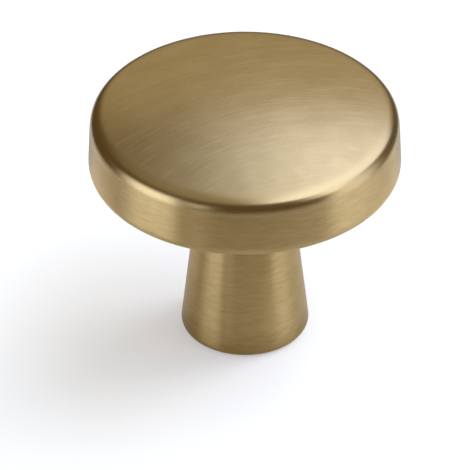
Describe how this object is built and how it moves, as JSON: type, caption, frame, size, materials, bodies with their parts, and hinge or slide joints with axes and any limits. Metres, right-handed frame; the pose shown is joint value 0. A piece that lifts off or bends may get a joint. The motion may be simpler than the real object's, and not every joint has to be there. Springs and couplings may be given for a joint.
{
  "type": "cabinet knob",
  "caption": "Round cabinet knob: a thick crowned disc head on a slim tapered shank, with a blind threaded hole in its base for a machine screw.",
  "frame": {"origin": "centre of the base face, where the knob's axis meets the cabinet front", "axes": "+Z along the knob's axis, out of the cabinet front towards the crowned face"},
  "size_m": [0.0316, 0.0316, 0.027],
  "materials": {
    "brass": "satin, brushed in wide shallow arcs across the face, with fine turned rings on the side and the shank"
  },
  "bodies": {
    "root": {"knob": "brass"}
  },
  "joints": []
}
